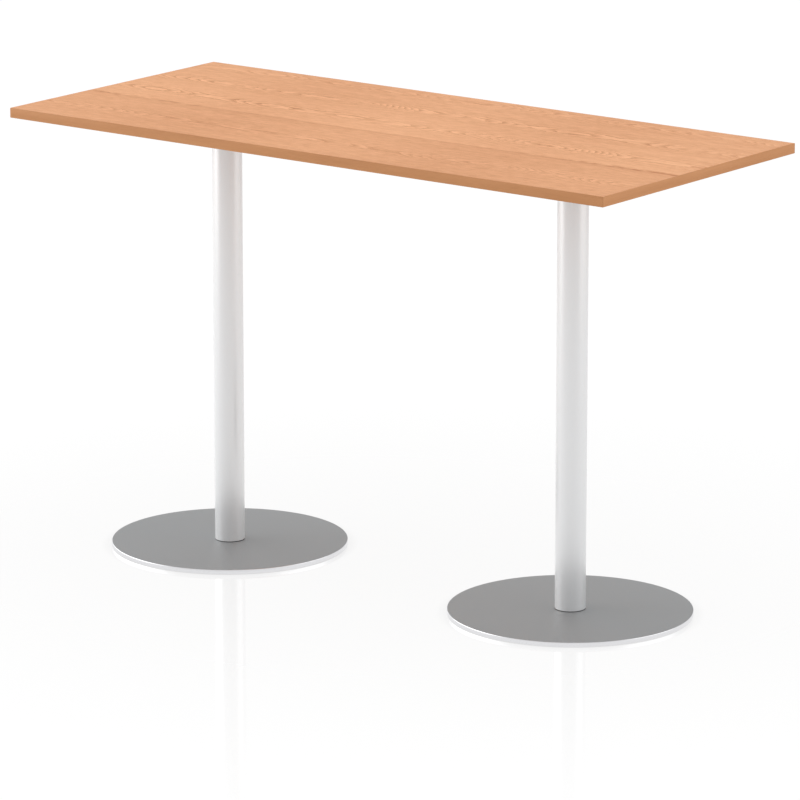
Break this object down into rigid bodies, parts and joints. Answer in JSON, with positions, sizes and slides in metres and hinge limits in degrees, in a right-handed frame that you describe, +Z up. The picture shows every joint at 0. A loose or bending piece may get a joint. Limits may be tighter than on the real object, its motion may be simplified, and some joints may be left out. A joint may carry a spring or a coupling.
{
  "type": "bar-height meeting table",
  "caption": "Bar-height rectangular meeting table: oak-look banded top on round silver columns with flat disc bases and levelling glides.",
  "frame": {"origin": "on the floor under the middle of the top", "axes": "+X along the top's length, +Y from the front to the back, +Z up"},
  "size_m": [1.8, 0.8, 1.145],
  "materials": {
    "oak_face": "satin",
    "oak_edge": "satin",
    "silver_paint": "satin",
    "satin_steel": "satin",
    "plate_steel": "matte",
    "plain_steel": "satin",
    "spider_paint": "satin",
    "screw_steel": "satin",
    "dark_gasket": "matte",
    "glide_nylon": "matte"
  },
  "bodies": {
    "root": {"top_board": "oak_face", "front_edge_band": "oak_edge", "back_edge_band": "oak_edge", "left_edge_band": "oak_edge", "right_edge_band": "oak_edge", "left_base_cover": "satin_steel", "left_weight_plate": "plate_steel", "left_foot_ring": "dark_gasket", "left_column": "silver_paint", "left_foot_disc": "plain_steel", "left_foot_screws": "screw_steel", "left_head_disc": "plain_steel", "left_spider_hub": "spider_paint", "left_hub_screws": "screw_steel", "left_board_screws": "screw_steel", "left_spider_arm_1": "spider_paint", "left_spider_arm_2": "spider_paint", "left_spider_arm_3": "spider_paint", "left_spider_arm_4": "spider_paint", "right_base_cover": "satin_steel", "right_weight_plate": "plate_steel", "right_foot_ring": "dark_gasket", "right_column": "silver_paint", "right_foot_disc": "plain_steel", "right_foot_screws": "screw_steel", "right_head_disc": "plain_steel", "right_spider_hub": "spider_paint", "right_hub_screws": "screw_steel", "right_board_screws": "screw_steel", "right_spider_arm_1": "spider_paint", "right_spider_arm_2": "spider_paint", "right_spider_arm_3": "spider_paint", "right_spider_arm_4": "spider_paint"},
    "left_pad_1": {"left_glide_pad_1": "glide_nylon"},
    "left_stem_1": {"left_glide_stem_1": "screw_steel"},
    "left_pad_2": {"left_glide_pad_2": "glide_nylon"},
    "left_stem_2": {"left_glide_stem_2": "screw_steel"},
    "left_pad_3": {"left_glide_pad_3": "glide_nylon"},
    "left_stem_3": {"left_glide_stem_3": "screw_steel"},
    "left_pad_4": {"left_glide_pad_4": "glide_nylon"},
    "left_stem_4": {"left_glide_stem_4": "screw_steel"},
    "right_pad_1": {"right_glide_pad_1": "glide_nylon"},
    "right_stem_1": {"right_glide_stem_1": "screw_steel"},
    "right_pad_2": {"right_glide_pad_2": "glide_nylon"},
    "right_stem_2": {"right_glide_stem_2": "screw_steel"},
    "right_pad_3": {"right_glide_pad_3": "glide_nylon"},
    "right_stem_3": {"right_glide_stem_3": "screw_steel"},
    "right_pad_4": {"right_glide_pad_4": "glide_nylon"},
    "right_stem_4": {"right_glide_stem_4": "screw_steel"}
  },
  "joints": [
    {"name": "left_glide_1_height", "type": "slide", "parent": "root", "child": "left_pad_1", "axis": [0, 0, -1], "range_m": [0, 0.004]},
    {"name": "left_glide_1_turn", "type": "hinge", "parent": "left_pad_1", "child": "left_stem_1", "pos_m": [-0.34815, 0.18385, 0.0058], "axis": [0, 0, -1], "range_deg": [0, 1155]},
    {"name": "left_glide_2_height", "type": "slide", "parent": "root", "child": "left_pad_2", "axis": [0, 0, -1], "range_m": [0, 0.004]},
    {"name": "left_glide_2_turn", "type": "hinge", "parent": "left_pad_2", "child": "left_stem_2", "pos_m": [-0.71585, 0.18385, 0.0058], "axis": [0, 0, -1], "range_deg": [0, 1155]},
    {"name": "left_glide_3_height", "type": "slide", "parent": "root", "child": "left_pad_3", "axis": [0, 0, -1], "range_m": [0, 0.004]},
    {"name": "left_glide_3_turn", "type": "hinge", "parent": "left_pad_3", "child": "left_stem_3", "pos_m": [-0.71585, -0.18385, 0.0058], "axis": [0, 0, -1], "range_deg": [0, 1155]},
    {"name": "left_glide_4_height", "type": "slide", "parent": "root", "child": "left_pad_4", "axis": [0, 0, -1], "range_m": [0, 0.004]},
    {"name": "left_glide_4_turn", "type": "hinge", "parent": "left_pad_4", "child": "left_stem_4", "pos_m": [-0.34815, -0.18385, 0.0058], "axis": [0, 0, -1], "range_deg": [0, 1155]},
    {"name": "right_glide_1_height", "type": "slide", "parent": "root", "child": "right_pad_1", "axis": [0, 0, -1], "range_m": [0, 0.004]},
    {"name": "right_glide_1_turn", "type": "hinge", "parent": "right_pad_1", "child": "right_stem_1", "pos_m": [0.71585, 0.18385, 0.0058], "axis": [0, 0, -1], "range_deg": [0, 1155]},
    {"name": "right_glide_2_height", "type": "slide", "parent": "root", "child": "right_pad_2", "axis": [0, 0, -1], "range_m": [0, 0.004]},
    {"name": "right_glide_2_turn", "type": "hinge", "parent": "right_pad_2", "child": "right_stem_2", "pos_m": [0.34815, 0.18385, 0.0058], "axis": [0, 0, -1], "range_deg": [0, 1155]},
    {"name": "right_glide_3_height", "type": "slide", "parent": "root", "child": "right_pad_3", "axis": [0, 0, -1], "range_m": [0, 0.004]},
    {"name": "right_glide_3_turn", "type": "hinge", "parent": "right_pad_3", "child": "right_stem_3", "pos_m": [0.34815, -0.18385, 0.0058], "axis": [0, 0, -1], "range_deg": [0, 1155]},
    {"name": "right_glide_4_height", "type": "slide", "parent": "root", "child": "right_pad_4", "axis": [0, 0, -1], "range_m": [0, 0.004]},
    {"name": "right_glide_4_turn", "type": "hinge", "parent": "right_pad_4", "child": "right_stem_4", "pos_m": [0.71585, -0.18385, 0.0058], "axis": [0, 0, -1], "range_deg": [0, 1155]}
  ],
  "couplings": [
    {"joint": "left_glide_1_turn", "follows": "left_glide_1_height", "rad_per_m": 5026.5},
    {"joint": "left_glide_2_turn", "follows": "left_glide_2_height", "rad_per_m": 5026.5},
    {"joint": "left_glide_3_turn", "follows": "left_glide_3_height", "rad_per_m": 5026.5},
    {"joint": "left_glide_4_turn", "follows": "left_glide_4_height", "rad_per_m": 5026.5},
    {"joint": "right_glide_1_turn", "follows": "right_glide_1_height", "rad_per_m": 5026.5},
    {"joint": "right_glide_2_turn", "follows": "right_glide_2_height", "rad_per_m": 5026.5},
    {"joint": "right_glide_3_turn", "follows": "right_glide_3_height", "rad_per_m": 5026.5},
    {"joint": "right_glide_4_turn", "follows": "right_glide_4_height", "rad_per_m": 5026.5}
  ]
}
